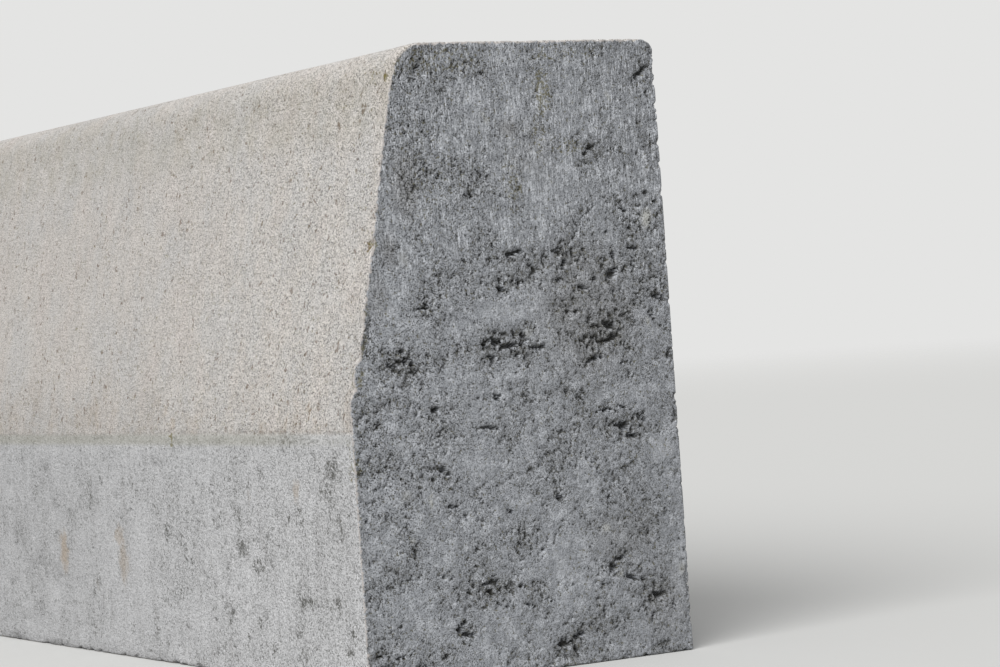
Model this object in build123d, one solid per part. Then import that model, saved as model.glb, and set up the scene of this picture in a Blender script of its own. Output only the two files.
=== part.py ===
from build123d import *

import math
import os

# A concrete kerb stone with a battered front face, pressed in one piece.
# The stone lies along X, its front face looks along -Y, and it stands on Z = 0.
# The origin is at the middle of the bedding face. All sizes are in millimetres.

# Overall size
STONE_LENGTH = 1000.0
BASE_WIDTH = 150.0
STONE_HEIGHT = 250.0

# Front face: upright at the foot, then leaning back up to the narrower top
TOP_WIDTH = 120.0
BATTER_HEIGHT = 150.0

# Rounding of the two long top edges
NOSE_RADIUS = 15.0
BACK_RADIUS = 6.0

# Worn arris round both ends and along the bedding face
ARRIS_RADIUS = 1.0

# Places across the stone that follow from these sizes
FRONT = -BASE_WIDTH / 2
BACK = BASE_WIDTH / 2
NOSE = BACK - TOP_WIDTH
BATTER_FOOT = STONE_HEIGHT - BATTER_HEIGHT


def rounded(outline, corner, radius):
    """The outline with a radius on the corner that lies nearest to a point."""
    nearest = min(outline.vertices(), key=lambda vertex: (Vector(vertex) - Vector(*corner)).length)
    return fillet(nearest, radius=radius)


def kerb_section():
    """The section across the stone: first size back from the front, second size up."""
    foot_front = (FRONT, 0)
    foot_back = (BACK, 0)
    top_back = (BACK, STONE_HEIGHT)
    top_front = (NOSE, STONE_HEIGHT)
    batter_foot = (FRONT, BATTER_FOOT)
    corners = Polyline(foot_front, foot_back, top_back, top_front, batter_foot, close=True)
    outline = make_face(corners)
    outline = rounded(outline, top_front, NOSE_RADIUS)
    outline = rounded(outline, top_back, BACK_RADIUS)
    return Plane.YZ * outline


def kerb_stone():
    """The whole stone: the section pulled to length, with its sharp arrises worn round."""
    stone = extrude(kerb_section(), amount=STONE_LENGTH / 2, both=True)
    across = stone.edges().group_by(Axis.X)
    round_the_ends = across[0] + across[-1]
    along_the_foot = stone.edges().filter_by(Axis.X).group_by(Axis.Z)[0]
    return fillet(round_the_ends + along_the_foot, radius=ARRIS_RADIUS)


os.makedirs("parts", exist_ok=True)
stone = kerb_stone()
export_step(stone, "parts/kerb_stone.step")

batter_angle = math.degrees(math.atan2(NOSE - FRONT, BATTER_HEIGHT))
litres = stone.volume / 1e6
print(f"batter {batter_angle:.1f} degrees off upright, volume {litres:.2f} litres")
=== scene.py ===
import math

import bpy
import numpy as np
from bpy.props import FloatProperty, FloatVectorProperty, IntProperty, PointerProperty
from mathutils import Matrix, Quaternion, Vector


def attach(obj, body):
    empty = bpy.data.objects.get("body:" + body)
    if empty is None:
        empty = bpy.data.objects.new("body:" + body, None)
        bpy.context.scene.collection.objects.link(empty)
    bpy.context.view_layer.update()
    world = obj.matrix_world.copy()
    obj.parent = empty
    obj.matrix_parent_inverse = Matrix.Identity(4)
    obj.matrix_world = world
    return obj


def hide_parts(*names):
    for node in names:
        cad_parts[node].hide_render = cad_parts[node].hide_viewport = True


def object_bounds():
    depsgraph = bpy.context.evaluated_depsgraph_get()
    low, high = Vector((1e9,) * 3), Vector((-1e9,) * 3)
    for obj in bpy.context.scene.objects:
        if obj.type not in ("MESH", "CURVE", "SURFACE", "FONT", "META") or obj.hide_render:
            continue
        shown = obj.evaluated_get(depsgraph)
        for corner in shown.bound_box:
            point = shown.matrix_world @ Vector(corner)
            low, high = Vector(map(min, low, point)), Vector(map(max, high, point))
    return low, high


# A weathered concrete kerb stone, dressed over its plain solid.
# Blender's lengths are in metres. Relief and patterns are worked out in millimetres.

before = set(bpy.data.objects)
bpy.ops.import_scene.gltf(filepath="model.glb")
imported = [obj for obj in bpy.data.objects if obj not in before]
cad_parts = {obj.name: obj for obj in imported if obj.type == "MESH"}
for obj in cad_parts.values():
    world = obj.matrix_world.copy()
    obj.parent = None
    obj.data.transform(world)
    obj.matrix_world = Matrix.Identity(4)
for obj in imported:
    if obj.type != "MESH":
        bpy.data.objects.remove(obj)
SOLID_LOW, SOLID_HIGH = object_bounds()

bl_info = {
    "name": "Concrete Kerb Stone",
    "version": (1, 0, 0),
    "blender": (4, 5, 0),
    "location": "3D View > Sidebar > Kerb Stone",
    "description": "Dresses a concrete kerb stone with worn relief and weathered finishes",
    "category": "Object",
}

NODE = "kerb_stone"
BODY = "root"

MM = 0.001
HALF_LENGTH = (SOLID_HIGH.x - SOLID_LOW.x) / 2 / MM
HALF_WIDTH = (SOLID_HIGH.y - SOLID_LOW.y) / 2 / MM
HEIGHT = (SOLID_HIGH.z - SOLID_LOW.z) / MM


def paint(red, green, blue):
    """A colour as seen on screen, 0 to 255, as the linear colour that Blender's sockets take."""

    def linear(value):
        level = value / 255
        return level / 12.92 if level <= 0.04045 else ((level + 0.055) / 1.055) ** 2.4

    return linear(red), linear(green), linear(blue)


def length(name, description, default):
    """A length property, given in millimetres and kept in metres."""
    return FloatProperty(name=name, description=description, default=default * MM, min=0, unit="LENGTH")


def share(name, description, default):
    """A plain amount, without a unit."""
    return FloatProperty(name=name, description=description, default=default, min=0)


def number(name, description, default):
    """A whole number."""
    return IntProperty(name=name, description=description, default=default, min=0)


def colour(name, description, *seen):
    """A colour property, given as it is seen on screen."""
    limits = {"size": 3, "min": 0, "max": 1, "subtype": "COLOR"}
    return FloatVectorProperty(name=name, description=description, default=paint(*seen), **limits)


class KerbShape(bpy.types.PropertyGroup):
    """The section inside the stone's outer box."""

    top_width: length("Top width", "Width of the top before its edges are rounded", 120)
    batter_height: length("Batter height", "Height over which the front leans back", 150)
    nose_radius: length("Nose radius", "Rounding of the top front edge", 15)
    back_radius: length("Back radius", "Rounding of the top back edge", 6)
    arris_radius: length("Arris radius", "Wear round both ends and along the bedding face", 1)
    crease_radius: length("Crease radius", "Easing where the batter starts", 4)


class KerbRelief(bpy.types.PropertyGroup):
    """How the surface is broken up, and how finely it is meshed."""

    pit_depth: length("Pit depth", "Depth of the open pits in the dry core concrete", 2.4)
    grain_depth: length("Grain depth", "Height of the sand grains on the ends", 0.12)
    wave_depth: length("Wave depth", "How far the faces are out of flat", 0.35)
    scrape_depth: length("Scrape depth", "Depth of the upright scrapes left by the mould", 0.12)
    chip_depth: length("Chip depth", "Depth of the chips along the arrises", 2.5)
    crease_depth: length("Crease depth", "Depth of the seam where the batter starts", 0.2)
    fine_step: length("Fine step", "Mesh spacing at the right end", 0.6)
    coarse_step: length("Coarse step", "Mesh spacing along the stone", 2.6)
    triangles: number("Triangles", "Most triangles in the finished stone", 190000)
    end_triangles: number("End triangles", "Of these, kept for the right end", 92000)
    front_triangles: number("Front triangles", "Of these, kept for the front near that end", 26000)
    seed: number("Seed", "Moves every random pattern elsewhere", 3)


class KerbColours(bpy.types.PropertyGroup):
    """The stone's colours."""

    paste: colour("Core paste", "Bluish grey cement paste of the ends", 166, 169, 174)
    paste_light: colour("Core, smooth", "Smooth pale patches of the ends", 204, 207, 212)
    paste_dark: colour("Core, rough", "Dull rough patches of the ends", 124, 124, 122)
    # The pits' colour: dirt, together with painted shade in the pits and crevices
    pit_dirt_and_painted_shade: colour("Pit", "Dirt in the pits of the core", 70, 69, 64)
    brown: colour("Core, brown", "Faint brownish film on the ends", 120, 114, 106)
    pebble: colour("Pebble", "Pale pebbles bared on the right end", 208, 208, 202)
    facing: colour("Facing", "Cream facing of the batter and top", 206, 201, 196)
    facing_warm: colour("Facing, warm", "Pinkish patches of the facing", 207, 200, 195)
    facing_cool: colour("Facing, cool", "Greyer patches of the facing", 203, 200, 197)
    facing_speck: colour("Facing speck", "Dark grains in the facing", 104, 97, 88)
    foot: colour("Foot", "Grey-white cement skin of the front's foot", 201, 201, 202)
    foot_dark: colour("Foot pit", "Dirt in the foot's pits", 86, 86, 80)
    algae: colour("Algae", "Green-yellow growth under the nose and in the crease", 158, 154, 128)
    moss: colour("Moss", "Dark moss in the sheltered chips", 120, 112, 60)
    rust: colour("Rust", "Orange-brown runs and spots", 184, 162, 134)
    rust_dark: colour("Rust, dark", "Brown middles of the rust spots", 104, 82, 62)


class KerbStage(bpy.types.PropertyGroup):
    """The floor and the light."""

    floor: colour("Floor", "Pale studio floor", 222, 222, 220)
    backdrop: colour("Backdrop", "What shows past the floor", 228, 228, 227)
    bounce: colour("Floor, unlit", "What the floor throws back on the stone", 150, 150, 148)
    sky: share("Sky", "Strength of the light from all round", 0.48)
    key: share("Key", "Strength of the soft light from the upper left", 2.35)
    key_spread: FloatProperty(
        name="Spread", description="Softness of the light", default=math.radians(40), unit="ROTATION"
    )


class Wire:
    """A socket of a node tree, whose sums and products add Math nodes to the tree."""

    def __init__(self, tree, socket):
        self.tree = tree
        self.socket = socket

    def maths(self, operation, *values):
        return self.tree.wire("ShaderNodeMath", {"operation": operation}, dict(enumerate(values)))

    def __add__(self, other):
        return self.maths("ADD", self, other)

    def __radd__(self, other):
        return self.maths("ADD", other, self)

    def __sub__(self, other):
        return self.maths("SUBTRACT", self, other)

    def __rsub__(self, other):
        return self.maths("SUBTRACT", other, self)

    def __mul__(self, other):
        return self.maths("MULTIPLY", self, other)

    def __rmul__(self, other):
        return self.maths("MULTIPLY", other, self)

    def __pow__(self, other):
        return self.maths("POWER", self, other)

    def __abs__(self):
        return self.maths("ABSOLUTE", self)

    def sign(self):
        return self.maths("SIGN", self)

    def root(self):
        return self.maths("SQRT", self)

    def least(self, other):
        return self.maths("MINIMUM", self, other)

    def most(self, other):
        return self.maths("MAXIMUM", self, other)

    def step(self, low, high):
        """Rises smoothly from 0 at low to 1 at high."""
        settings = {"interpolation_type": "SMOOTHSTEP"}
        return self.tree.wire("ShaderNodeMapRange", settings, {0: self, 1: low, 2: high})

    def band(self, low, high, soft):
        """1 between low and high, falling to 0 within soft on either side."""
        return self.step(low - soft, low) * (1 - self.step(high, high + soft))


def rgba(value):
    """A colour as a socket takes it: a wire as it is, and a plain colour with full alpha."""
    return value if isinstance(value, Wire) else (*value, 1.0)


class Tree:
    """Fills one node tree, of a material, of the world or of a Geometry Nodes group."""

    def __init__(self, node_tree):
        self.nodes = node_tree.nodes
        self.links = node_tree.links

    def node(self, kind, settings=None, inputs=None):
        """Adds a node: its settings first, then the values or wires of its sockets."""
        made = self.nodes.new(kind)
        for name, value in (settings or {}).items():
            setattr(made, name, value)
        for key, value in (inputs or {}).items():
            if isinstance(value, Wire):
                self.links.new(value.socket, made.inputs[key])
            else:
                made.inputs[key].default_value = value
        return made

    def wire(self, kind, settings=None, inputs=None, output=0):
        """Adds a node and gives one of its outputs."""
        return Wire(self, self.node(kind, settings, inputs).outputs[output])

    def split(self, vector):
        made = self.node("ShaderNodeSeparateXYZ", None, {0: vector})
        return [Wire(self, socket) for socket in made.outputs]

    def join(self, x, y, z):
        return self.wire("ShaderNodeCombineXYZ", None, {0: x, 1: y, 2: z})

    def vectors(self, operation, *values, output=0):
        inputs = dict(enumerate(values))
        return self.wire("ShaderNodeVectorMath", {"operation": operation}, inputs, output)

    def moved(self, vector, offset):
        return self.vectors("ADD", vector, offset)

    def stretched(self, vector, factors):
        return self.vectors("MULTIPLY", vector, factors)

    def named(self, name, kind="FLOAT"):
        """An attribute of the mesh, in a Geometry Nodes group."""
        return self.wire("GeometryNodeInputNamedAttribute", {"data_type": kind}, {"Name": name})

    def painted(self, name):
        """An attribute of the mesh, in a material."""
        return self.wire("ShaderNodeAttribute", {"attribute_name": name}, None, "Fac")

    def noise(self, place, size, detail, roughness, settings=None, output=0):
        """Cloudy noise about 0.5, with its broadest lumps about size across."""
        inputs = {"Vector": place, "Scale": 1 / size, "Detail": detail, "Roughness": roughness}
        return self.wire("ShaderNodeTexNoise", settings, inputs, output)

    def rugged(self, place, size, detail, roughness):
        """Noise about 0 that keeps its broad lumps as finer detail is added."""
        return self.noise(place, size, detail, roughness, {"normalize": False})

    def warped(self, place, size, reach):
        """The place pushed about at random, so that what is drawn there has ragged edges."""
        push = self.noise(place, size, 2.0, 0.6, {"normalize": False}, 1)
        return self.moved(place, self.stretched(push, 3 * (reach,)))

    def cells(self, place, size):
        """The distance to the middles of random cells about size across."""
        inputs = {"Vector": place, "Scale": 1 / size}
        return self.wire("ShaderNodeTexVoronoi", None, inputs, "Distance")

    def grains(self, place, size):
        """For random cells about size across: the distance to their middles, and three chances."""
        cell = self.node("ShaderNodeTexVoronoi", None, {"Vector": place, "Scale": 1 / size})
        parts = self.node("ShaderNodeSeparateColor", None, {0: Wire(self, cell.outputs["Color"])})
        return [Wire(self, cell.outputs["Distance"]), *(Wire(self, socket) for socket in parts.outputs)]

    def sand(self, place, size):
        """For each grain about size across: how much lighter or darker it is, and a spare chance."""
        _, tone, _, chance = self.grains(place, size)
        return 0.25 - tone ** 3, chance

    def dots(self, place, size, density):
        """1 in crisp dots, one in the middle of some of the random cells about size across."""
        away, chance, width, shade = self.grains(place, size)
        middle = 1 - (away + width * 0.2).step(0.25, 0.5)
        return middle * (chance + density).step(0.97, 1.07) * (shade * 0.4 + 0.6)

    def spots(self, place, rows):
        """How strongly the rows of soft marks on the front bear on a place: the strongest of them."""
        core, edge = FRONT_FADE
        found = None
        for along, up, wide, tall, strength in rows:
            middle = (-along / wide, 0, -up / tall)
            off = self.vectors("MULTIPLY_ADD", place, (1 / wide, 0, 1 / tall), middle)
            away = self.vectors("LENGTH", off, output="Value")
            fall = {0: away, 1: core, 2: edge, 3: strength, 4: 0.0}
            mark = self.wire("ShaderNodeMapRange", {"interpolation_type": "SMOOTHSTEP"}, fall)
            found = found.most(mark) if found else mark
        return found

    def blend(self, factor, first, second):
        """A colour between two colours."""
        inputs = {0: factor, 6: rgba(first), 7: rgba(second)}
        return self.wire("ShaderNodeMix", {"data_type": "RGBA"}, inputs, 2)

    def tinted(self, base, amount):
        """A colour made lighter or darker by a factor."""
        grey = self.wire("ShaderNodeCombineColor", None, {0: amount, 1: amount, 2: amount})
        inputs = {0: 1.0, 6: rgba(base), 7: grey}
        return self.wire("ShaderNodeMix", {"data_type": "RGBA", "blend_type": "MULTIPLY"}, inputs, 2)

    def choose(self, factor, first, second):
        """A place between two places."""
        inputs = {0: factor, 4: first, 5: second}
        return self.wire("ShaderNodeMix", {"data_type": "VECTOR"}, inputs, 1)

    def mixed(self, factor, first, second):
        """A finish between two finishes."""
        return self.wire("ShaderNodeMixShader", None, {0: factor, 1: first, 2: second})


def batter_of(shape):
    """The crease's height, how far the batter leans back, and over what height, in millimetres."""
    rise = shape.batter_height / MM
    return HEIGHT - rise, 2 * HALF_WIDTH - shape.top_width / MM, rise


class Faces:
    """Which face of the stone a place belongs to, and how deep it lies under each, in millimetres."""

    # How softly one face gives way to the next, and the facing to the foot
    SOFT = 0.35
    CREASE_SOFT = 1.2

    def __init__(self, tree, place, shape, proud_wire):
        self.tree = tree
        self.place = place
        x, y, z = tree.split(place)
        self.x, self.y, self.z = x, y, z
        crease, retreat, rise = batter_of(shape)
        lean = math.atan2(retreat, rise)
        across = y + HALF_WIDTH
        batter = across * math.cos(lean) - (z - crease) * math.sin(lean)
        self.crease = crease
        self.end = HALF_LENGTH - abs(x)
        self.under = z
        self.top = HEIGHT - z
        self.back = HALF_WIDTH - y
        self.front = across.least(batter) + proud_wire
        nose = self.rounded(self.front, self.top, shape.nose_radius / MM)
        heel = self.rounded(self.back, self.top, shape.back_radius / MM)
        side = nose.least(heel).least(self.front).least(self.under)
        self.on_end = self.nearer(self.end, side)
        off_end = 1 - self.on_end
        upright = self.front.least(self.back)
        self.on_under = self.nearer(self.under, upright) * off_end
        off_under = off_end * (1 - self.on_under)
        self.on_back = self.nearer(self.back, self.front.least(self.top)) * off_under
        self.exposed = off_under * (1 - self.on_back)
        self.below_crease = 1 - z.step(crease - self.CREASE_SOFT, crease + self.CREASE_SOFT)
        self.on_foot = self.below_crease * self.exposed
        self.arris = self.end.most(side).least(self.under.most(upright.least(self.end)))

    def rounded(self, first, second, radius):
        """The depth under two faces that meet in a rounding, no more than its radius."""
        reach = ((radius - first).most(0) ** 2 + (radius - second).most(0) ** 2).root()
        return radius - reach

    def nearer(self, first, second):
        """1 where the first face is the nearer one."""
        return (second - first).step(-self.SOFT, self.SOFT)

    def flat(self):
        """The place without its depth under the ends, so that a pit's floor matches its mouth."""
        level = self.tree.join(self.x.sign() * HALF_LENGTH, self.y, self.z)
        return self.tree.choose(self.on_end, self.place, level)


# Marks on the right end: across from the front, up, half width, half height, tilt in degrees, strength
END_VOIDS = (
    (142.5, 235.5, 5.5, 1.6, 35, 1.0),
    (130, 226, 3.5, 1.0, -15, 0.7),
    (141.5, 187, 2.2, 1.6, -30, 0.9),
    (146, 183.5, 3.0, 0.9, 10, 0.9),
    (130.5, 181, 2.6, 1.2, -20, 0.8),
    (78.5, 166, 4.6, 1.4, 5, 1.0),
    (75, 165, 1.8, 1.4, 0, 0.8),
    (124, 163, 2.6, 1.8, -30, 1.0),
    (123, 155.5, 4.2, 2.2, 35, 1.1),
    (120.5, 177.5, 2.6, 0.9, 0, 0.6),
    (122, 172, 2.0, 1.2, -25, 0.7),
    (134, 165, 2.6, 1.6, -35, 0.8),
    (140.5, 138.5, 2.0, 3.6, 20, 1.0),
    (146, 144.5, 3.2, 1.8, -10, 0.9),
    (71, 151.5, 2.4, 1.5, -20, 0.9),
    (101, 160.5, 1.6, 3.0, -20, 0.9),
    (97.5, 154, 2.4, 0.9, 0, 0.8),
    (109, 150.5, 4.2, 1.0, -15, 0.8),
    (114.5, 153.5, 2.2, 1.4, 30, 0.8),
    (120.5, 134.5, 3.8, 2.0, -25, 1.0),
    (124, 148, 3.2, 1.0, 0, 0.7),
    (105.5, 141, 2.4, 1.2, 40, 0.7),
    (111, 137, 2.6, 1.2, -30, 0.7),
    (86.5, 127.5, 3.6, 1.7, 15, 1.0),
    (66.5, 131, 3.0, 1.8, -30, 0.9),
    (73, 129, 5.0, 1.2, 5, 0.9),
    (80, 132.5, 2.8, 1.4, -30, 0.8),
    (65.5, 124.5, 2.6, 1.8, -15, 0.9),
    (34, 146, 5.0, 0.9, 0, 0.6),
    (25, 130, 3.2, 0.9, 10, 0.6),
    (28, 125.5, 2.8, 1.3, -15, 0.8),
    (19, 125.5, 1.4, 1.8, 0, 0.7),
    (113, 121.5, 4.2, 1.3, 5, 0.9),
    (127, 119, 3.0, 1.1, 0, 0.8),
    (148.5, 121, 2.2, 3.6, 0, 1.0),
    (66, 109.5, 2.8, 1.9, -20, 1.0),
    (37.5, 106.5, 2.8, 1.3, 0, 0.9),
    (27, 108, 3.0, 0.7, 0, 0.6),
    (62.5, 97.5, 5.6, 1.2, -5, 0.9),
    (124, 93, 2.4, 2.8, 25, 1.1),
    (133.5, 96.5, 2.2, 2.6, 20, 0.9),
    (127, 89.5, 4.0, 1.1, -10, 0.9),
    (116, 100.5, 5.6, 0.8, 5, 0.8),
    (122.5, 101.5, 3.0, 1.0, -10, 0.9),
    (148.8, 97, 1.4, 3.0, 0, 1.0),
    (39.5, 82.5, 1.6, 1.5, 0, 0.9),
    (36.5, 79.5, 1.1, 0.8, 0, 0.8),
    (41.5, 80.8, 1.6, 0.7, -20, 0.8),
    (11, 77.5, 3.0, 1.0, -10, 0.7),
    (43, 68, 3.0, 1.2, -5, 1.0),
    (103, 72.5, 3.0, 0.9, -5, 1.0),
    (106.7, 70.3, 0.9, 1.5, 0, 1.0),
    (91.5, 67.5, 1.8, 2.2, 10, 1.0),
    (68, 64, 3.0, 1.3, -20, 0.9),
    (4.6, 66, 1.3, 1.0, 30, 0.9),
    (116, 65.5, 3.0, 0.8, 0, 0.7),
    (48.5, 63, 1.0, 2.0, 15, 0.8),
    (82, 47.5, 2.0, 1.1, -30, 0.6),
    (59, 45, 4.6, 0.6, -8, 0.5),
    (37, 41, 4.6, 0.7, -15, 0.7),
    (114.5, 37, 2.6, 2.6, 30, 0.9),
    (118, 40.5, 3.6, 0.8, 0, 0.8),
    (124.5, 31.8, 4.6, 1.1, -12, 1.1),
    (109.5, 31, 3.0, 0.8, 0, 0.8),
    (70.5, 33.5, 2.0, 1.0, 0, 0.7),
    (55, 36.5, 4.0, 0.9, 10, 0.7),
    (57, 32.5, 1.2, 2.4, 20, 0.8),
    (62, 27.5, 3.8, 0.9, -25, 0.9),
    (75, 26, 4.6, 0.8, -25, 0.8),
    (84.5, 27, 2.0, 0.9, -30, 0.8),
    (95, 27, 3.0, 0.9, 15, 0.8),
    (135.5, 24, 2.8, 1.2, -15, 0.9),
    (43.5, 22.3, 3.2, 1.0, 0, 1.0),
    (45.5, 17.6, 4.4, 1.1, -10, 1.1),
    (41.8, 19.5, 1.5, 2.2, 0, 1.1),
    (88, 9, 1.3, 3.0, 0, 1.0),
    (97, 12, 3.6, 1.0, 10, 0.8),
    (15, 12, 3.0, 0.8, 5, 0.9),
    (142, 18, 1.6, 3.0, 0, 0.8),
    (131, 17, 1.2, 4.0, 10, 0.6),
)
END_ROUGH = (
    (118, 148, 34, 38, 0, 0.4),
    (75, 130, 15, 9, 0, 0.9),
    (92, 160, 22, 11, 0, 0.6),
    (125, 157, 14, 14, 0, 0.7),
    (115, 133, 20, 14, 0, 0.7),
    (125, 92, 15, 7, 0, 0.7),
    (95, 116, 7, 11, 0, 0.4),
    (92, 68, 6, 6, 0, 0.4),
    (115, 38, 9, 7, 0, 0.6),
    (134, 25, 12, 8, -20, 0.5),
    (45, 19, 6, 5, 0, 0.5),
    (92, 10, 9, 7, 0, 0.4),
    (38, 224, 10, 8, 0, 0.4),
    (50, 239, 24, 6, 0, 0.5),
    (140, 236, 9, 7, 30, 0.5),
    (118, 206, 9, 9, 0, 0.3),
    (60, 200, 14, 12, 0, 0.4),
    (62, 172, 9, 6, 0, 0.4),
    (38, 150, 9, 9, 0, 0.4),
    (26, 125, 9, 6, 0, 0.5),
    (31, 166, 8, 10, 0, 0.4),
    (35, 200, 8, 16, 0, 0.4),
    (38, 80, 7, 5, 0, 0.4),
    (43, 68, 7, 4, 0, 0.4),
    (10, 90, 9, 13, 0, 0.4),
    (60, 32, 13, 7, -15, 0.5),
    (78, 26, 10, 5, 0, 0.4),
    (132, 172, 14, 12, 0, 0.5),
    (126, 55, 14, 7, 0, 0.3),
)
END_SMOOTH = (
    (74, 144, 17, 6, 0, 0.7),
    (55, 111, 7, 13, 0, 0.6),
    (92, 136, 6, 9, 0, 0.7),
    (132, 107, 18, 5, 0, 0.9),
    (141, 84, 9, 5, 0, 0.9),
    (75, 67, 7, 7, 0, 0.6),
    (84, 40, 13, 6, 0, 0.9),
    (20, 25, 17, 12, 0, 0.6),
    (62, 226, 14, 8, 0, 0.3),
    (92, 190, 9, 22, 0, 0.5),
    (56, 82, 7, 10, 0, 0.5),
    (142, 48, 9, 7, 0, 0.4),
    (134, 8, 12, 6, 0, 0.5),
    (110, 228, 9, 10, 0, 0.3),
)
END_PEBBLES = (
    (141.3, 177, 2.4, 4.4, -10, 1.0),
    (126.5, 227, 1.4, 0.9, -20, 0.9),
    (69, 219, 0.8, 3.0, 25, 0.6),
    (33.2, 71.5, 0.7, 3.2, -5, 0.9),
    (23.5, 56.5, 1.6, 1.3, 0, 0.6),
    (112, 53.5, 2.0, 1.7, 0, 0.7),
    (22, 74, 2.2, 2.6, 0, 0.35),
    (118, 34.5, 1.0, 2.4, -35, 0.5),
    (82, 134, 2.6, 1.8, 30, 0.35),
    (138.5, 135, 1.0, 2.2, 10, 0.6),
    (147, 34, 2.0, 2.6, 0, 0.5),
    (28, 166, 2.2, 3.0, 0, 0.3),
)
END_GROWTH = (
    (96, 230, 5, 12, 0, 0.8),
    (93, 212, 4, 9, 0, 0.5),
    (80, 193, 5, 10, 0, 0.6),
    (106, 207, 9, 4, 0, 0.6),
    (50, 243, 25, 7, 0, 0.5),
    (105, 245, 22, 4, 0, 0.4),
    (28.5, 239, 2.0, 4.5, 0, 1.0),
    (5.5, 121, 2.0, 6, -15, 0.9),
    (8, 134, 1.6, 7, -12, 0.8),
    (10, 147, 1.6, 3, -12, 0.7),
    (15.5, 172, 2.0, 2.6, 0, 1.0),
    (1, 88, 2.2, 9, 0, 0.9),
    (1, 66, 1.4, 6, 0, 0.4),
    (43, 195, 12, 25, 0, 0.2),
)
END_BROWN = (
    (79, 215, 5, 4, 0, 0.9),
    (31, 195, 7, 16, 0, 0.7),
    (22, 170, 4, 8, 0, 0.6),
    (88, 205, 14, 14, 0, 0.3),
    (110, 140, 26, 30, 0, 0.5),
    (16, 152, 4, 9, 0, 0.5),
    (120, 50, 18, 12, 0, 0.4),
    (140, 20, 14, 20, 0, 0.3),
)
# Marks on the front face: along the stone, up, half width, half height, strength
FRONT_DARK = (
    (130, 64, 3, 4, 0.4),
    (167, 73, 5, 3, 0.3),
    (172, 45, 9, 2, 0.3),
    (233, 74, 6, 8, 0.45),
    (261, 56, 6, 2, 0.5),
    (311, 45, 4, 5, 0.45),
    (320, 57, 6, 5, 0.55),
    (334, 54, 8, 3, 0.35),
    (343, 46.5, 2.5, 1.6, 0.9),
    (341, 69, 2.5, 3.5, 0.5),
    (375, 64, 7, 4, 0.45),
    (393, 65, 3, 4, 0.45),
    (396, 52, 7, 4, 0.75),
    (407, 46, 7, 3, 0.85),
    (417, 83, 2.5, 2, 0.7),
    (405, 79, 2.5, 2, 0.6),
    (418, 78, 2, 2, 0.6),
    (441, 67, 2.5, 2, 0.9),
    (449, 70, 2.5, 1.5, 0.8),
    (452, 65, 2.5, 1.8, 0.8),
    (350, 33, 3, 3, 0.55),
    (312, 27, 4, 2.5, 0.4),
    (235, 33, 4, 4, 0.4),
    (212, 10, 4, 5, 0.45),
    (274, 15, 3.5, 2.5, 0.5),
    (378, 25, 3, 5, 0.6),
    (395, 16, 3, 5, 0.75),
    (419, 12, 2.5, 2.5, 0.8),
    (408, 22, 3, 2, 0.6),
    (451, 33, 7, 2.2, 0.85),
    (479, 33, 2, 4, 0.9),
    (491, 22, 2.5, 2.5, 0.9),
    (486, 15, 3.5, 2.5, 0.9),
    (442, 20, 4, 2, 0.7),
    (484, 52, 2.5, 1.5, 0.7),
    (482, 86, 7, 6, 0.55),
    (474, 76, 8, 4, 0.5),
    (485, 64, 3, 2, 0.7),
    (417, 140, 2.5, 1.5, 0.6),
    (456, 131, 1.2, 5, 0.6),
    (474, 123, 1, 1.5, 0.7),
    (430, 187, 1.2, 1, 0.8),
    (457, 174, 2, 2.5, 0.5),
    (459, 223, 2, 1.5, 1.0),
    (481, 226, 2, 2.5, 0.95),
    (464, 227, 1.5, 1.5, 0.6),
    (398, 222, 1.5, 3, 0.6),
    (407, 230, 1.2, 1, 0.7),
    (487, 219, 1.5, 2, 0.5),
    (496.5, 172, 2.5, 2, 1.0),
    (497.5, 181, 1.5, 1.2, 0.9),
    (496, 238, 2, 3, 1.0),
)
FRONT_MOSS = (
    (330.5, 98, 2.0, 3.2, 1.0),
    (497.5, 87, 3, 8, 0.5),
    (498, 96, 2, 4, 0.5),
    (498, 121, 2, 4, 0.5),
    (497.5, 172.5, 3.4, 2.6, 0.5),
    (497, 238, 2, 3, 0.9),
    (485, 238, 9, 4, 0.3),
    (462, 228, 12, 4, 0.22),
)
FRONT_RUST = (
    (198, 46, 6, 11, 0.9),
    (199, 41, 5, 3.5, 0.9),
    (264, 54, 7, 5, 0.7),
    (268, 43, 7, 11, 0.6),
    (448, 78, 3, 6, 0.6),
    (404, 74, 2, 4, 0.35),
    (235, 30, 3, 5, 0.3),
    (315, 105, 3, 1.8, 0.9),
    (321, 111, 2.5, 3.5, 0.7),
    (330, 105, 4, 2.5, 0.7),
    (300, 103, 3, 2, 0.6),
    (242, 112, 5, 6, 0.5),
    (246, 104, 5, 2, 0.6),
    (188, 117, 5, 3, 0.45),
    (192, 104, 9, 3, 0.4),
    (160, 121, 3, 2, 0.4),
    (222, 105, 6, 3, 0.4),
    (406, 118, 2, 4, 0.6),
    (402, 109, 3, 6, 0.5),
    (418, 104, 5, 3, 0.6),
    (442, 105, 2.5, 4, 0.7),
    (461, 109, 3, 2.5, 1.0),
    (467, 106, 1.5, 1.5, 0.7),
    (372, 131, 4, 2.5, 0.6),
    (362, 118, 3, 2, 0.5),
    (244, 127, 5, 6, 0.3),
    (210, 151, 4, 2, 0.4),
    (325, 188, 4, 6, 0.35),
    (250, 196, 6, 4, 0.3),
)

# Attributes of the right end, each with the marks that add to it and the marks that take from it
MARKS = {
    "voids": (END_VOIDS,),
    "roughness": (END_ROUGH, END_SMOOTH),
    "pebbles": (END_PEBBLES,),
    "growth": (END_GROWTH,),
    "brown": (END_BROWN,),
}
# Where a mark starts to fade and where it is gone, in its own half widths and half heights
END_FADE = (0.3, 1.3)
FRONT_FADE = (0.3, 1.35)
# Points further off than this many times a mark's larger half size aren't looked at
MARK_SPAN = 1.4
# How far in from the end a mark reaches, in millimetres
MARK_DEPTH = 8


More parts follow.
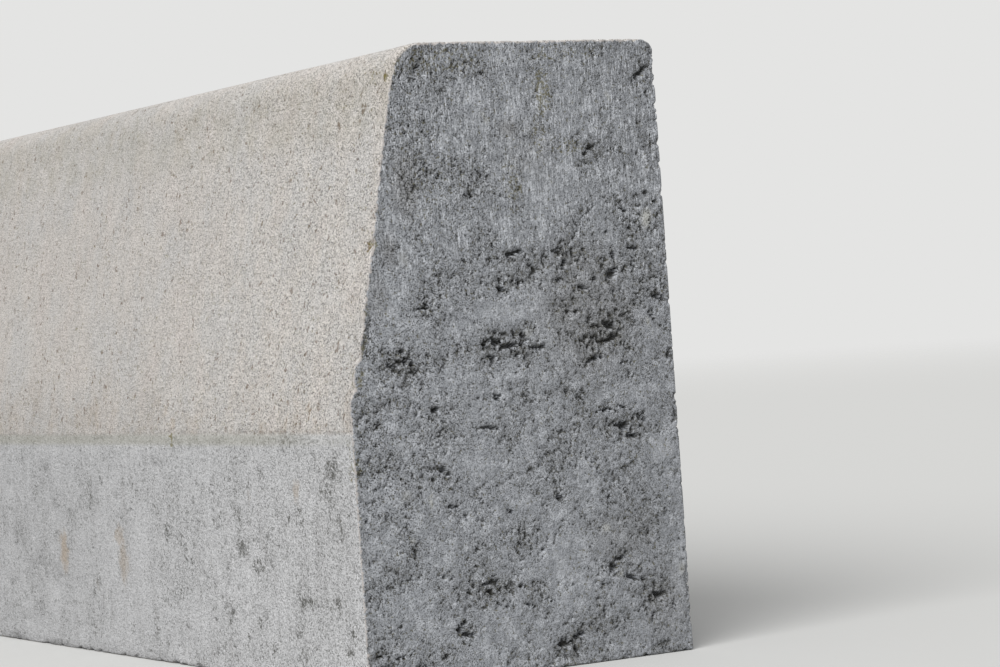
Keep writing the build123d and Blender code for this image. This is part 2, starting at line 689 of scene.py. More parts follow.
def patches(points, rows):
    """How strongly the rows of marks on the right end bear on each point: the strongest of them."""
    across = points[:, 1] + HALF_WIDTH
    up = points[:, 2]
    behind = np.clip((HALF_LENGTH - points[:, 0]) / MARK_DEPTH, 0, 1)
    strongest = np.zeros(len(points))
    core, edge = END_FADE
    for middle, level, wide, tall, tilt, strength in rows:
        reach = MARK_SPAN * max(wide, tall)
        near = (abs(across - middle) < reach) & (abs(up - level) < reach) & (behind < 1)
        turn = math.radians(tilt)
        right, over = across[near] - middle, up[near] - level
        along = (right * math.cos(turn) + over * math.sin(turn)) / wide
        athwart = (over * math.cos(turn) - right * math.sin(turn)) / tall
        away = np.hypot(np.hypot(along, athwart), behind[near])
        fall = np.clip((edge - away) / (edge - core), 0, 1)
        value = strength * fall * fall * (3 - 2 * fall)
        strongest[near] = np.maximum(strongest[near], value)
    return strongest


def mark_end(mesh, points, shape):
    """Writes the listed marks of the right end on the mesh's points, given in millimetres."""
    values = {"proud": proud(points, shape)}
    for name, lists in MARKS.items():
        values[name] = patches(points, lists[0])
        for rows in lists[1:]:
            values[name] -= patches(points, rows)
    for name, value in values.items():
        attribute = mesh.attributes.get(name) or mesh.attributes.new(name, "FLOAT", "POINT")
        attribute.data.foreach_set("value", value.astype(np.float32))


def points_of(mesh):
    """The mesh's points, in millimetres."""
    flat = np.empty(3 * len(mesh.vertices), np.float32)
    mesh.vertices.foreach_get("co", flat)
    return flat.reshape(-1, 3).astype(float) / MM


# Detail of the pits: less in the relief, whose mesh is too coarse for more
RELIEF_DETAIL = 2.0
FINISH_DETAIL = 4.0


class Patterns:
    """What the relief and the finishes share, so that the dirt and the painted shade lie in the pits.

    Here and in the finishes the sizes are in millimetres, and the amounts were set one by one.
    """

    def __init__(self, tree, faces, spot, marks, detail):
        self.tree = tree
        self.spot = spot
        self.sound = faces.z.step(100, 220)
        self.tall = tree.stretched(spot, (1, 1, 0.5))
        self.drawn = tree.stretched(spot, (1, 1, 0.15))
        self.detail = detail
        self.marks = marks
        broad = tree.noise(spot, 45, 2, 0.5)
        scattered = tree.rugged(spot, 16, 2, 0.7) * 0.6 + (broad - 0.5) * 0.8
        self.openness = scattered + marks["roughness"] * 0.7 - self.sound * 0.12 - 0.13
        self.open = self.openness.step(-0.1, 0.8)
        self.gaps = tree.rugged(spot, 2.1, detail, 0.95)
        self.bent = tree.warped(spot, 4, 1.8)
        self.lumps = tree.cells(self.bent, 3.2)

    def pits(self):
        """1 in the open pits of the dry core concrete, and 0 on sound paste."""
        between = (self.lumps.step(0.4, 0.8) - 0.4) * self.open * 0.8
        total = self.gaps * 0.9 + self.openness * 0.7 + between + self.marks["voids"] * 1.15
        return total.step(0.64, 0.94)

    def crevices(self):
        """1 in the broken thin crevices round the larger stones of the core."""
        ridge = abs(self.tree.rugged(self.bent, 12, 2, 0.6))
        patch = self.tree.noise(self.spot, 19, 3, 0.6)
        patch = patch + self.marks["roughness"] * 0.1 - self.sound * 0.07
        broken = (self.gaps + self.openness * 0.3).step(-0.2, 0.12)
        return (1 - ridge.step(0.012, 0.08)) * patch.step(0.45, 0.54) * broken

    def scrapes(self):
        """Fine upright scrapes, about 0.5."""
        return self.tree.noise(self.drawn, 0.9, 2, 0.6)

    def foot_pits(self):
        """1 in the upright pits of the foot."""
        broad = self.tree.noise(self.spot, 30, 2, 0.5)
        return (self.tree.rugged(self.spot, 5, self.detail, 0.9) + (broad - 0.5) * 1.5).step(0.85, 1.2)


def section_corners(shape):
    """The section's corners and their radii, in millimetres, counterclockwise from the front foot."""
    foot_radius = shape.arris_radius / MM
    return [
        (-HALF_WIDTH, 0, foot_radius),
        (HALF_WIDTH, 0, foot_radius),
        (HALF_WIDTH, HEIGHT, shape.back_radius / MM),
        (HALF_WIDTH - shape.top_width / MM, HEIGHT, shape.nose_radius / MM),
        (-HALF_WIDTH, HEIGHT - shape.batter_height / MM, shape.crease_radius / MM),
    ]


# Steps round each corner of the section, and round the worn edge of an end
ARC_STEPS = 32
ARRIS_STEPS = 4
# How much longer each step along the stone is than the one before, going away from the right end
STEP_GROWTH = 1.035


def outline(corners):
    """Points round the section with their outward directions, as rows of (y, z, out y, out z)."""
    rows = []
    places = [np.array(corner[:2], float) for corner in corners]
    for index, (corner, radius) in enumerate(zip(places, (corner[2] for corner in corners))):
        into = corner - places[index - 1]
        onward = places[(index + 1) % len(places)] - corner
        into /= np.linalg.norm(into)
        onward /= np.linalg.norm(onward)
        turn = math.atan2(into[0] * onward[1] - into[1] * onward[0], into @ onward)
        middle = corner + radius * (np.array((-into[1], into[0])) - into * math.tan(turn / 2))
        start = math.atan2(-into[0], into[1])
        for angle in np.linspace(start, start + turn, ARC_STEPS + 1):
            out = np.array((math.cos(angle), math.sin(angle)))
            rows.append((*(middle + radius * out), *out))
    return np.array(rows)


def run(rows, first, last, count):
    """The outline from the middle of one corner to the middle of another, in count even steps."""
    size = ARC_STEPS + 1
    start = first * size + ARC_STEPS // 2
    stop = last * size + ARC_STEPS // 2
    stop += len(rows) if stop <= start else 0
    part = rows[np.arange(start, stop + 1) % len(rows)]
    way = np.concatenate(([0], np.cumsum(np.linalg.norm(np.diff(part[:, :2], axis=0), axis=1))))
    even = np.linspace(0, way[-1], count + 1)
    return np.stack([np.interp(even, way, part[:, column]) for column in range(4)], axis=1)


def stations(shape, relief):
    """Places along the stone, left to right, as (x, how far the section draws in) in millimetres."""
    radius = shape.arris_radius / MM
    turns = np.radians(np.linspace(0, 90, ARRIS_STEPS + 1))
    edge = [(HALF_LENGTH - radius * (1 - math.cos(a)), radius * (1 - math.sin(a))) for a in turns]
    step = relief.fine_step / MM
    reach = 2 * (HALF_LENGTH - radius)
    steps = []
    while sum(steps) < reach:
        steps.append(step)
        step = min(step * STEP_GROWTH, relief.coarse_step / MM)
    steps = np.array(steps) * reach / sum(steps)
    along = HALF_LENGTH - radius - np.cumsum(steps)[:-1]
    left = [(-x, inset) for x, inset in edge]
    return left + [(x, 0.0) for x in along[::-1]] + edge[::-1]


def cap_grid(runs):
    """Points across an end, blended between the four runs of its edge, as rows from bottom to top."""
    bottom, back, top, front = (part[:, :2] for part in runs)
    top, front = top[::-1], front[::-1]
    u = np.linspace(0, 1, len(bottom))[None, :, None]
    v = np.linspace(0, 1, len(back))[:, None, None]
    level = (1 - v) * bottom[None] + v * top[None]
    upright = (1 - u) * front[:, None] + u * back[:, None]
    corners = (1 - v) * ((1 - u) * bottom[0] + u * bottom[-1]) + v * ((1 - u) * top[0] + u * top[-1])
    return level + upright - corners


def blank_mesh(shape, relief):
    """The plain stone as one closed fine mesh of four-sided faces, in millimetres."""
    rows = outline(section_corners(shape))
    step = relief.fine_step / MM
    wide = round(2 * HALF_WIDTH / step)
    tall = round(HEIGHT / step)
    runs = [run(rows, 0, 1, wide), run(rows, 1, 2, tall), run(rows, 2, 3, wide), run(rows, 3, 0, tall)]
    loop = np.concatenate([part[:-1] for part in runs])
    count = len(loop)
    places = stations(shape, relief)
    rings = []
    for x, inset in places:
        rings.append(np.column_stack((np.full(count, x), loop[:, :2] - loop[:, 2:] * inset)))
    vertices = [np.concatenate(rings)]
    here = np.arange(count)
    there = np.roll(here, -1)
    faces = []
    for ring in range(len(places) - 1):
        low = ring * count
        high = low + count
        faces.append(np.column_stack((low + here, low + there, high + there, high + here)))
    drawn_in = [part.copy() for part in runs]
    for part in drawn_in:
        part[:, :2] -= part[:, 2:] * places[0][1]
    grid = cap_grid(drawn_in)
    inner = grid[1:-1, 1:-1].reshape(-1, 2)
    first = len(places) * count
    for x, ring, turned in ((-HALF_LENGTH, 0, True), (HALF_LENGTH, len(places) - 1, False)):
        index = np.zeros((tall + 1, wide + 1), int)
        edge = ring * count + here
        index[0, :] = edge[: wide + 1]
        index[:, -1] = edge[wide : wide + tall + 1]
        index[-1, ::-1] = edge[wide + tall : 2 * wide + tall + 1]
        index[::-1, 0] = np.append(edge[2 * wide + tall :], edge[0])
        index[1:-1, 1:-1] = first + np.arange(len(inner)).reshape(tall - 1, wide - 1)
        first += len(inner)
        vertices.append(np.column_stack((np.full(len(inner), x), inner)))
        a, b, c, d = index[:-1, :-1], index[:-1, 1:], index[1:, 1:], index[1:, :-1]
        quads = np.stack((a, b, c, d), axis=-1).reshape(-1, 4)
        faces.append(quads[:, ::-1] if turned else quads)
    return np.concatenate(vertices), np.concatenate(faces)


# The damaged front arris of the right end: height, and how far it stands proud of the plain stone there
ARRIS_PROFILE = (
    (76, 0.0),
    (83, -0.3),
    (88, 0.0),
    (100, 0.5),
    (104, 1.3),
    (107, 2.2),
    (110.5, 3.0),
    (113, 2.0),
    (115.5, 1.0),
    (117.5, 0.4),
    (119, 1.3),
    (121, 2.1),
    (124.5, 1.9),
    (127, 0.7),
    (129, 0.0),
    (132, 0.4),
    (136, 0.7),
    (140, -0.4),
    (143, 0.5),
    (147, 1.0),
    (151, 0.3),
    (169, 0.0),
    (172, -1.4),
    (175, 0.2),
    (180, 0.0),
    (181.5, -0.9),
    (183, 0.3),
    (210, 0.3),
    (233, 0.0),
    (238.5, -1.5),
    (243, 0.0),
)
# How far the damage reaches from that arris, in millimetres
ARRIS_REACH = 5.0
# How far off a face still turns the way in, in millimetres
FACE_REACH = 2.0


def proud(points, shape):
    """How far the right end's front arris stands proud by each point, in millimetres."""
    x, y, z = points.T
    crease, retreat, rise = batter_of(shape)
    set_back = np.maximum(z - crease, 0) * (retreat / rise)
    lump = np.minimum(np.interp(z, *zip(*ARRIS_PROFILE)), set_back)
    near_end = np.clip(1 - (HALF_LENGTH - x) / ARRIS_REACH, 0, 1)
    near_front = np.clip(1 - (y + HALF_WIDTH - set_back) / ARRIS_REACH, 0, 1)
    return lump * near_end * near_end * (3 - 2 * near_end) * near_front


def damaged(points, shape):
    """The plain points with the lump and the notches of the right end's front arris."""
    moved = points.copy()
    moved[:, 1] -= proud(points, shape)
    return moved


def inward(points, shape):
    """The way in from each point of the surface, turning smoothly from face to face at an arris."""
    crease, retreat, rise = batter_of(shape)
    lean = math.atan2(retreat, rise)
    planes = [
        ((1, 0, 0), (-HALF_LENGTH, 0, 0)),
        ((-1, 0, 0), (HALF_LENGTH, 0, 0)),
        ((0, 0, 1), (0, 0, 0)),
        ((0, 0, -1), (0, 0, HEIGHT)),
        ((0, -1, 0), (0, HALF_WIDTH, 0)),
        ((0, 1, 0), (0, -HALF_WIDTH, 0)),
        ((0, math.cos(lean), -math.sin(lean)), (0, -HALF_WIDTH, crease)),
    ]
    total = np.zeros_like(points)
    for way, spot in planes:
        depth = np.maximum((points - spot) @ np.array(way, float), 0)
        total += np.exp(-depth / FACE_REACH)[:, None] * np.array(way, float)
    return total / np.linalg.norm(total, axis=1)[:, None]


def new_object(name, data):
    """A new object in the scene, at the origin."""
    made = bpy.data.objects.new(name, data)
    bpy.context.scene.collection.objects.link(made)
    return made


def mesh_object(name, points, faces):
    """An object at the origin with a mesh of four-sided faces, given in millimetres."""
    mesh = bpy.data.meshes.new(name)
    mesh.vertices.add(len(points))
    mesh.vertices.foreach_set("co", (points * MM).astype(np.float32).ravel())
    mesh.loops.add(faces.size)
    mesh.loops.foreach_set("vertex_index", faces.astype(np.int32).ravel())
    mesh.polygons.add(len(faces))
    mesh.polygons.foreach_set("loop_start", np.arange(0, faces.size, 4, dtype=np.int32))
    mesh.update(calc_edges=True)
    mesh.validate()
    return new_object(name, mesh)


DEPTHS = ("Pit Depth", "Grain Depth", "Wave Depth", "Scrape Depth", "Chip Depth", "Crease Depth")
# How far one step of the seed moves the random patterns, in millimetres
SEED_SHIFT = 1000


def group_input(group, name, default, kind="NodeSocketFloat"):
    """Adds a named input to a Geometry Nodes group, and gives its socket identifier."""
    socket = group.interface.new_socket(name=name, in_out="INPUT", socket_type=kind)
    if default is not None:
        socket.default_value = default
    return socket.identifier


def relief_group(shape, material):
    """A Geometry Nodes group that wears pits, scrapes and chips into the plain stone."""
    group = bpy.data.node_groups.new("kerb_relief", "GeometryNodeTree")
    geometry = "NodeSocketGeometry"
    group_input(group, "Stone", None, geometry)
    sockets = {name: group_input(group, name, 1.0) for name in (*DEPTHS, "Seed")}
    group.interface.new_socket(name="Stone", in_out="OUTPUT", socket_type=geometry)
    tree = Tree(group)
    entry = tree.node("NodeGroupInput")
    given = {name: Wire(tree, entry.outputs[name]) for name in sockets}
    position = tree.wire("GeometryNodeInputPosition")
    place = tree.stretched(position, 3 * (1 / MM,))
    faces = Faces(tree, place, shape, tree.named("proud"))
    seed = given["Seed"] * SEED_SHIFT
    spot = tree.moved(faces.flat(), tree.join(seed, seed, seed))
    depth = relief_depth(tree, faces, spot, given) * MM
    offset = tree.stretched(tree.named("inward", "FLOAT_VECTOR"), tree.join(depth, depth, depth))
    stone = Wire(tree, entry.outputs["Stone"])
    worn = tree.wire("GeometryNodeSetPosition", None, {"Geometry": stone, "Offset": offset})
    plain = tree.wire("GeometryNodeRealizeInstances", None, {"Geometry": worn})
    painted = tree.wire("GeometryNodeSetMaterial", None, {"Geometry": plain, "Material": material})
    tree.node("NodeGroupOutput", None, {"Stone": painted})
    return group, sockets


def relief_depth(tree, faces, spot, given):
    """How far each place of the surface lies in from the plain stone, in millimetres."""
    marks = {name: tree.named(name) for name in MARKS}
    patterns = Patterns(tree, faces, spot, marks, RELIEF_DETAIL)
    guard = faces.arris.step(0.2, 2.2)
    core = faces.on_end + faces.on_under * 0.8 + faces.on_back * 0.35
    inner = faces.arris.step(0.2, 4)
    deep = 0.5 + patterns.open * 0.5 + marks["voids"] * 0.9
    pits = patterns.pits() * deep * given["Pit Depth"]
    pits = (pits + patterns.open * (0.2 + patterns.lumps.step(0.1, 0.9))) * guard * core
    pits = pits * (1 - marks["pebbles"])
    crevices = patterns.crevices() * given["Pit Depth"] * 0.35 * guard * core
    swell = (0.6 - tree.rugged(spot, 9, 2, 0.6)).most(0) * 0.4 * core * inner
    grain = tree.noise(spot, 1.7, 2, 0.6) * given["Grain Depth"] * core * inner
    wave = tree.noise(spot, 70, 2, 0.5) * given["Wave Depth"] * faces.arris.step(0, 25)
    scraped = patterns.scrapes() * given["Scrape Depth"] * faces.on_end * inner
    foot = patterns.foot_pits() * faces.on_foot * guard * 0.8
    ragged = tree.noise(spot, 5, 3, 0.65) + (tree.noise(spot, 38, 1, 0.5) - 0.5) * 0.4
    wear = 0.35 + 0.65 * (1 - faces.back.step(1, 4)) + 0.65 * (1 - faces.under.step(1, 4))
    wear = wear + 0.3 * (1 - faces.top.step(1, 4))
    chips = ragged.step(0.48, 0.8) * (1 - faces.arris.step(0.3, 3.2)) * given["Chip Depth"] * wear
    seam = faces.z.band(faces.crease - 0.3, faces.crease + 0.6, 0.6) * (1 - faces.on_end)
    seam = seam * (1 - faces.front.step(0.2, 0.6)) * given["Crease Depth"]
    return pits.most(crevices) + swell + grain + wave + scraped + foot + chips + seam


def relief_values(relief):
    """The values of the relief group's inputs, lengths in millimetres."""
    values = {name: getattr(relief, name.lower().replace(" ", "_")) / MM for name in DEPTHS}
    values["Seed"] = float(relief.seed)
    return values


def take_result(stone, modifier):
    """Gives the stone its modifier's result as a plain mesh, and removes the modifier."""
    before = stone.data
    result = stone.evaluated_get(bpy.context.evaluated_depsgraph_get())
    stone.data = bpy.data.meshes.new_from_object(result)
    stone.modifiers.remove(modifier)
    bpy.data.meshes.remove(before)


def wear_down(stone, group, sockets, values):
    """Runs the relief group on the stone."""
    wear = stone.modifiers.new("wear", "NODES")
    wear.node_group = group
    for name, identifier in sockets.items():
        wear[identifier] = values[name]
    bpy.context.view_layer.update()
    take_result(stone, wear)


# Zones of the mesh, in millimetres: how deep the right end's is, how far the near front's reaches
# along the stone, and what lies in front of it across the stone
END_ZONE = 6.0
NEAR_ZONE = 180.0
FRONT_ZONE = -0.3 * HALF_WIDTH
# The most that a vertex group can count for, so that the thinning leaves the other zones alone
ZONE_ONLY = 1000


def thin(stone, ratio, chosen):
    """Thins the chosen points' part of the mesh until the whole has that share of its triangles."""
    group = stone.vertex_groups.new(name="thinned")
    group.add(np.flatnonzero(chosen).tolist(), 1.0, "REPLACE")
    decimate = stone.modifiers.new("thin", "DECIMATE")
    decimate.ratio = ratio
    decimate.use_collapse_triangulate = True
    decimate.vertex_group = group.name
    decimate.vertex_group_factor = ZONE_ONLY
    take_result(stone, decimate)
    stone.vertex_groups.clear()


def thin_out(stone, relief):
    """Thins the mesh where it bends least, with a share of it kept for each of three zones."""
    at_end_kept, near_kept = relief.end_triangles, relief.front_triangles
    far_kept = relief.triangles - at_end_kept - near_kept
    for zone, kept in enumerate((far_kept, near_kept, at_end_kept)):
        x, y, _ = points_of(stone.data).T
        at_end = x > HALF_LENGTH - END_ZONE
        near = (x > HALF_LENGTH - NEAR_ZONE) & (y < FRONT_ZONE) & ~at_end
        chosen = (~(at_end | near), near, at_end)[zone]
        stone.data.calc_loop_triangles()
        present = len(stone.data.loop_triangles)
        thin(stone, min(1.0, (present - 2 * chosen.sum() + kept) / present), chosen)


def kept_inside(mesh):
    """Draws back any point that the relief or the thinning has put outside the plain stone's box."""
    low = (-HALF_LENGTH, -HALF_WIDTH, 0)
    high = (HALF_LENGTH, HALF_WIDTH, HEIGHT)
    inside = np.clip(points_of(mesh), low, high) * MM
    mesh.vertices.foreach_set("co", inside.astype(np.float32).ravel())
    mesh.update()


def empty_tree(owner):
    """The emptied node tree of a material or a world, ready to be filled."""
    owner.use_nodes = True
    owner.node_tree.nodes.clear()
    return Tree(owner.node_tree)


def concrete_material(shape, relief, colours):
    """The whole stone's finish: core concrete on the ends, facing above the crease, foot below it."""
    material = bpy.data.materials.new("weathered_concrete")
    tree = empty_tree(material)
    coordinates = tree.wire("ShaderNodeTexCoord", None, None, "Object")
    place = tree.stretched(coordinates, 3 * (1 / MM,))
    faces = Faces(tree, place, shape, tree.painted("proud"))
    spot = tree.moved(faces.flat(), 3 * (relief.seed * SEED_SHIFT,))
    marks = {name: tree.painted(name) for name in MARKS}
    patterns = Patterns(tree, faces, spot, marks, FINISH_DETAIL)
    on_front = tree.warped(place, 4, 3)
    dark = tree.spots(on_front, FRONT_DARK)
    rust = tree.spots(on_front, FRONT_RUST)
    core = dull(tree, *core_finish(tree, faces, patterns, colours))
    moss = tree.spots(on_front, FRONT_MOSS)
    facing = dull(tree, *facing_finish(tree, faces, patterns, dark, rust, moss, colours))
    foot = dull(tree, *foot_finish(tree, faces, patterns, dark, rust, moss, colours))
    front = tree.mixed(faces.below_crease, facing, foot)
    surface = tree.mixed(faces.exposed, core, front)
    tree.node("ShaderNodeOutputMaterial", None, {"Surface": surface})
    return material


DRY_ROUGHNESS = 0.92
DRY_SPECULAR = 0.25


def dull(tree, base, height):
    """A dry mineral surface with a colour, and a fine height in millimetres."""
    bump = tree.wire("ShaderNodeBump", None, {"Strength": 1.0, "Distance": MM, "Height": height})
    inputs = {"Base Color": base, "Normal": bump}
    inputs |= {"Roughness": DRY_ROUGHNESS, "Specular IOR Level": DRY_SPECULAR}
    return tree.wire("ShaderNodeBsdfPrincipled", None, inputs)


def core_finish(tree, faces, patterns, colours):
    """Colour and fine height of the bluish core concrete on the ends, back and underside."""
    spot = patterns.spot
    marks = patterns.marks
    openness = patterns.openness
    pits = patterns.pits()
    grit = tree.rugged(spot, 1.3, 1, 1.0)
    salt, pepper = tree.sand(spot, 0.38)
    dots = tree.dots(spot, 0.9, 0.26 + openness * 0.5).most(tree.dots(spot, 2.3, 0.12 + openness * 0.3))
    crevices = patterns.crevices()
    height = salt * 0.1 - grit * 0.1
    fibre = tree.rugged(patterns.drawn, 0.75, 2, 0.95) * (0.08 + patterns.sound * 0.6)
    film = tree.rugged(spot, 6, 3, 0.85) * 0.6 + fibre - openness * 0.5
    level = 0.89 - faces.y.step(0, 70) * 0.05
    level = level - (1 - faces.top.step(4, 22)) * 0.08 + faces.on_back * 0.15
    crisp = 1.4 - faces.y.step(-60, 40) * 0.45 - (1 - faces.z.step(20, 110)) * 0.25
    tone = openness * 0.8 + patterns.gaps * 0.6
    base = tree.blend(tone.step(-0.2, 1.2), colours.paste, colours.paste_dark)
    base = tree.blend(film.step(-0.1, 0.9) * 0.8, base, colours.paste_light)
    base = tree.blend(marks["brown"] * 0.4, base, colours.brown)
    grain = salt * crisp * (openness * 0.4 + 0.9)
    base = tree.tinted(base, level - grit * 0.1 + grain + fibre * 0.35)
    growth = (marks["growth"] * 0.8 + grit * 0.8 - 0.4).step(0, 0.5)
    base = tree.blend(growth * 0.55, base, colours.moss)
    base = tree.blend(marks["pebbles"] * 0.8, base, colours.pebble)
    rough = (grit + openness * 0.5).step(0.3, 0.8) * 0.5
    # Darker in the pits, crevices, rough patches and pores: partly dirt, and partly painted shade in
    # pits and crevices finer than the mesh can shadow
    dirt_and_painted_shade = pits.most(crevices).most(rough).most(dots) * (pepper * 0.3 + 0.6)
    base = tree.blend(dirt_and_painted_shade, base, colours.pit_dirt_and_painted_shade)
    jag = (tree.noise(spot, 2.2, 2, 0.7) - 0.5) * 4.0
    rim = (1 - (faces.front.least(faces.top) + jag).step(0.5, 1.1)) * faces.back.step(8, 12)
    base = tree.blend(rim * 0.8, base, colours.facing_warm)
    return base, height


def facing_finish(tree, faces, patterns, dark, rust, moss, colours):
    """Colour and fine height of the cream facing above the crease."""
    spot = patterns.spot
    sand = tree.rugged(spot, 1.5, 2, 0.9)
    salt, pepper = tree.sand(spot, 0.42)
    cloud = tree.rugged(spot, 18, 3, 0.8)
    low = 1 - faces.z.step(faces.crease + 2, faces.crease + 40)
    near_end = 1 - faces.end.step(10, 90)
    specks = tree.dots(spot, 1.0, 0.14 + cloud * 0.1 + dark * 0.5 + low * 0.1 + near_end * 0.08)
    spots = (dark + rust * 0.6 + patterns.gaps * 0.3 - 0.15).step(0.35, 0.8)
    height = salt * 0.14 - sand * 0.16
    tone = tree.rugged(patterns.tall, 24, 2, 0.7)
    drawn = tree.rugged(patterns.drawn, 4.0, 3, 0.8)
    base = tree.blend(tone.step(-0.7, 0.4), colours.facing_cool, colours.facing)
    base = tree.blend(tone.step(0.1, 1.1) * 0.8, base, colours.facing_warm)
    # A painted highlight along the nose, where the light from above falls, with a slightly darker band
    # just under it
    nose = (1 - faces.top.step(0, 5)) * 0.1 - faces.top.band(6, 18, 8) * 0.03
    far = faces.end.step(20, 300)
    shade = 1.0 + nose + salt * (1.05 - far * 0.5) - sand * (0.1 - far * 0.05)
    # The far term is painted shade: the facing grows darker away from the right end
    shade = shade - drawn * 0.04 - cloud * 0.03 - low * 0.04 - far * 0.035
    base = tree.tinted(base, shade)
    blotch = (cloud * 0.7 + low * 0.6 - 0.4).step(0, 1.0) * 0.18 + (rust - 0.15).step(0, 1) * 0.3
    base = tree.blend(blotch, base, colours.rust)
    stains = tree.dots(patterns.bent, 2.8, 0.17 + low * 0.08 + near_end * 0.04)
    stains = (stains * (patterns.gaps + 0.8)).step(0.05, 0.3)
    base = tree.blend(specks * (pepper * 0.3 + 0.5), base, colours.facing_speck)
    base = tree.blend(stains * 0.6, base, colours.rust_dark)
    base = tree.blend(spots * 0.75, base, colours.rust_dark)
    algae = faces.z.band(222, 238, 12) * (cloud + 0.3).step(-0.9, 1.1)
    base = tree.blend(algae * 0.19, base, colours.algae)
    base = tree.blend((moss + patterns.gaps * 0.6 - 0.25).step(0.2, 0.6) * 0.8, base, colours.moss)
    line = faces.z.band(faces.crease - 0.2, faces.crease + 1.0, 0.8) * (cloud + drawn).step(-0.2, 0.6)
    base = tree.blend(line * (0.1 + faces.end.band(60, 115, 20) * 0.3), base, colours.rust_dark)
    return base, height


def foot_finish(tree, faces, patterns, dark, rust, moss, colours):
    """Colour and fine height of the cement skin on the front's foot."""
    spot = patterns.spot
    sand = tree.rugged(spot, 1.6, 2, 0.9)
    salt, pepper = tree.sand(spot, 0.42)
    cloud = tree.rugged(spot, 20, 3, 0.7)
    low = 1 - faces.z.step(faces.crease - 40, faces.crease - 5)
    near_end = 1 - faces.end.step(10, 90)
    specks = tree.dots(spot, 1.1, 0.08 + low * 0.05 + cloud * 0.25 + dark * 0.9 + near_end * 0.25)
    pits = patterns.foot_pits()
    height = salt * 0.14 - sand * 0.14
    drawn = tree.rugged(patterns.drawn, 7, 4, 0.8)
    far = faces.end.step(20, 300)
    shade = 1.0 + salt * (0.85 - far * 0.35) - drawn * 0.06 - cloud * 0.05 - sand * 0.05
    # Painted shade: the foot grows darker far from the right end
    shade = shade - faces.end.step(150, 350) * 0.08
    base = tree.tinted(colours.foot, shade)
    smudge = (dark + cloud * 0.4 + patterns.gaps * 0.7 + near_end * 0.1).step(0.4, 1.1)
    base = tree.blend(smudge * 0.85, base, colours.foot_dark)
    base = tree.blend(specks * 0.85, base, colours.foot_dark)
    below = faces.z.band(faces.crease - 3, faces.crease + 2, 3) * (0.3 + faces.end.step(20, 90) * 0.7)
    base = tree.blend(below * 0.36, base, colours.algae)
    base = tree.blend((rust + drawn * 0.15).step(0.05, 1.1) * 0.55, base, colours.rust)
    base = tree.blend(pits * (0.35 + pepper * 0.3), base, colours.foot_dark)
    base = tree.blend((moss + sand * 0.5 - 0.2).step(0.2, 0.7) * 0.7, base, colours.moss)
    return base, height


class KERB_OT_stone(bpy.types.Operator):
    """Builds the worn stone over its plain solid"""

    bl_idname = "kerb.stone"
    bl_label = "Kerb Stone"

    def execute(self, context):
        scene = context.scene
        shape, relief, colours = scene.kerb_shape, scene.kerb_relief, scene.kerb_colours
        material = concrete_material(shape, relief, colours)
        points, faces = blank_mesh(shape, relief)
        points = damaged(points, shape)
        stone = mesh_object("worn_kerb_stone", points, faces)
        attribute = stone.data.attributes.new("inward", "FLOAT_VECTOR", "POINT")
        attribute.data.foreach_set("vector", inward(points, shape).astype(np.float32).ravel())
        mark_end(stone.data, points, shape)
        group, sockets = relief_group(shape, material)
        wear_down(stone, group, sockets, relief_values(relief))
        for name in ("inward", "proud", *MARKS):
            stone.data.attributes.remove(stone.data.attributes[name])
        thin_out(stone, relief)
        kept_inside(stone.data)
        mark_end(stone.data, points_of(stone.data), shape)
        stone.data.shade_smooth()
        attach(stone, BODY)
        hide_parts(NODE)
        return {"FINISHED"}


class KERB_OT_stage(bpy.types.Operator):
    """Sets the floor, the light and the camera"""

    bl_idname = "kerb.stage"
    bl_label = "Stage"

    def execute(self, context):
        settings = context.scene.kerb_stage
        make_floor(settings)
        make_world(settings)
        make_lamp(settings)
        make_camera()
        return {"FINISHED"}


# The floor in metres: its radius, and how far from the middle it starts and ends fading
FLOOR_RADIUS = 12.0
FLOOR_FADE = (2.5, 7.0)
FLOOR_SIDES = 96


def make_floor(settings):
    """A round pale floor that fades into the backdrop far from the stone."""
    mesh = bpy.data.meshes.new("floor")
    turns = [2 * math.pi * side / FLOOR_SIDES for side in range(FLOOR_SIDES)]
    ring = [(FLOOR_RADIUS * math.cos(turn), FLOOR_RADIUS * math.sin(turn), 0) for turn in turns]
    mesh.from_pydata(ring, [], [tuple(range(FLOOR_SIDES))])
    floor = new_object("floor", mesh)
    material = bpy.data.materials.new("studio_floor")
    tree = empty_tree(material)
    place = tree.wire("ShaderNodeTexCoord", None, None, "Object")
    away = tree.vectors("LENGTH", place, output="Value")
    seen = tree.wire("ShaderNodeLightPath", None, None, "Is Camera Ray")
    pale = tree.wire("ShaderNodeBsdfDiffuse", None, {"Color": rgba(settings.floor)})
    bounce = tree.wire("ShaderNodeBsdfDiffuse", None, {"Color": rgba(settings.bounce)})
    matt = tree.mixed(seen, bounce, pale)
    clear = tree.wire("ShaderNodeBsdfTransparent")
    surface = tree.mixed(away.step(*FLOOR_FADE), matt, clear)
    tree.node("ShaderNodeOutputMaterial", None, {"Surface": surface})
    mesh.materials.append(material)


def make_world(settings):
    """Even light from all round, with the backdrop's colour where the camera sees it."""
    world = bpy.data.worlds.new("studio")
    bpy.context.scene.world = world
    tree = empty_tree(world)
    seen = tree.wire("ShaderNodeLightPath", None, None, "Is Camera Ray")
    light = tree.wire("ShaderNodeBackground", None, {"Color": (1, 1, 1, 1), "Strength": settings.sky})
    shown = {"Color": rgba(settings.backdrop), "Strength": 1.0}
    backdrop = tree.wire("ShaderNodeBackground", None, shown)
    tree.node("ShaderNodeOutputWorld", None, {"Surface": tree.mixed(seen, light, backdrop)})


# The way to the light
KEY_FROM = (0.458, -0.656, 0.6)


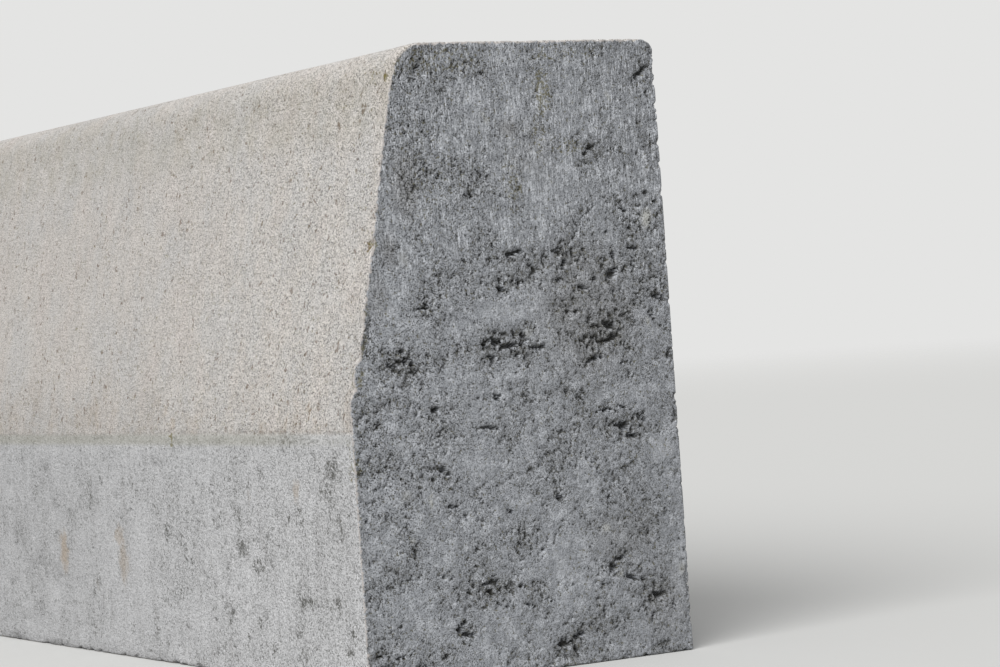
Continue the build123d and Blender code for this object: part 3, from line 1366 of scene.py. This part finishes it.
def make_lamp(settings):
    """One broad soft light from the upper left."""
    lamp = bpy.data.lights.new("key", "SUN")
    lamp.energy = settings.key
    lamp.angle = settings.key_spread
    made = new_object("key", lamp)
    made.rotation_euler = Vector(KEY_FROM).to_track_quat("Z", "Y").to_euler()


# The camera, set from the stone's lines in the photograph: lengths in millimetres, turns in degrees
CAMERA_PLACE = (1537.5, -608.3, 140.6)
CAMERA_AZIMUTH = 59.874
CAMERA_DOWN = 0.298
CAMERA_ROLL = 3.935
CAMERA_LENS = 109.46
CAMERA_SENSOR = 36.0
# The nearest and the furthest that it sees, in metres
CAMERA_CLIP = (0.05, 100)


def make_camera():
    """The camera at the photograph's angle."""
    camera = bpy.data.cameras.new("camera")
    camera.lens = CAMERA_LENS
    camera.sensor_width = CAMERA_SENSOR
    camera.clip_start, camera.clip_end = CAMERA_CLIP
    made = new_object("camera", camera)
    azimuth, down = math.radians(CAMERA_AZIMUTH), math.radians(CAMERA_DOWN)
    level = math.cos(down)
    ahead = Vector((-math.sin(azimuth) * level, math.cos(azimuth) * level, -math.sin(down)))
    turn = ahead.to_track_quat("-Z", "Y") @ Quaternion((0, 0, 1), -math.radians(CAMERA_ROLL))
    made.matrix_world = Matrix.Translation(Vector(CAMERA_PLACE) * MM) @ turn.to_matrix().to_4x4()
    bpy.context.scene.camera = made


class VIEW3D_PT_kerb_stone(bpy.types.Panel):
    """The kerb stone's sizes, finishes and stage"""

    bl_idname = "VIEW3D_PT_kerb_stone"
    bl_label = "Kerb Stone"
    bl_space_type = "VIEW_3D"
    bl_region_type = "UI"
    bl_category = "Kerb Stone"

    def draw(self, context):
        for name in SETTINGS:
            settings = getattr(context.scene, name)
            box = self.layout.box()
            for key in settings.__annotations__:
                box.prop(settings, key)
        for operator in OPERATORS:
            self.layout.operator(operator.bl_idname)


SETTINGS = {
    "kerb_shape": KerbShape,
    "kerb_relief": KerbRelief,
    "kerb_colours": KerbColours,
    "kerb_stage": KerbStage,
}
OPERATORS = (KERB_OT_stone, KERB_OT_stage)
CLASSES = (*SETTINGS.values(), *OPERATORS, VIEW3D_PT_kerb_stone)


def register():
    for cls in CLASSES:
        bpy.utils.register_class(cls)
    for name, group in SETTINGS.items():
        setattr(bpy.types.Scene, name, PointerProperty(type=group))


def unregister():
    for name in SETTINGS:
        delattr(bpy.types.Scene, name)
    for cls in reversed(CLASSES):
        bpy.utils.unregister_class(cls)


def main():
    register()
    scene = bpy.context.scene
    scene.view_settings.view_transform = "Standard"
    bpy.ops.kerb.stone()
    bpy.ops.kerb.stage()


if __name__ == "__main__":
    main()
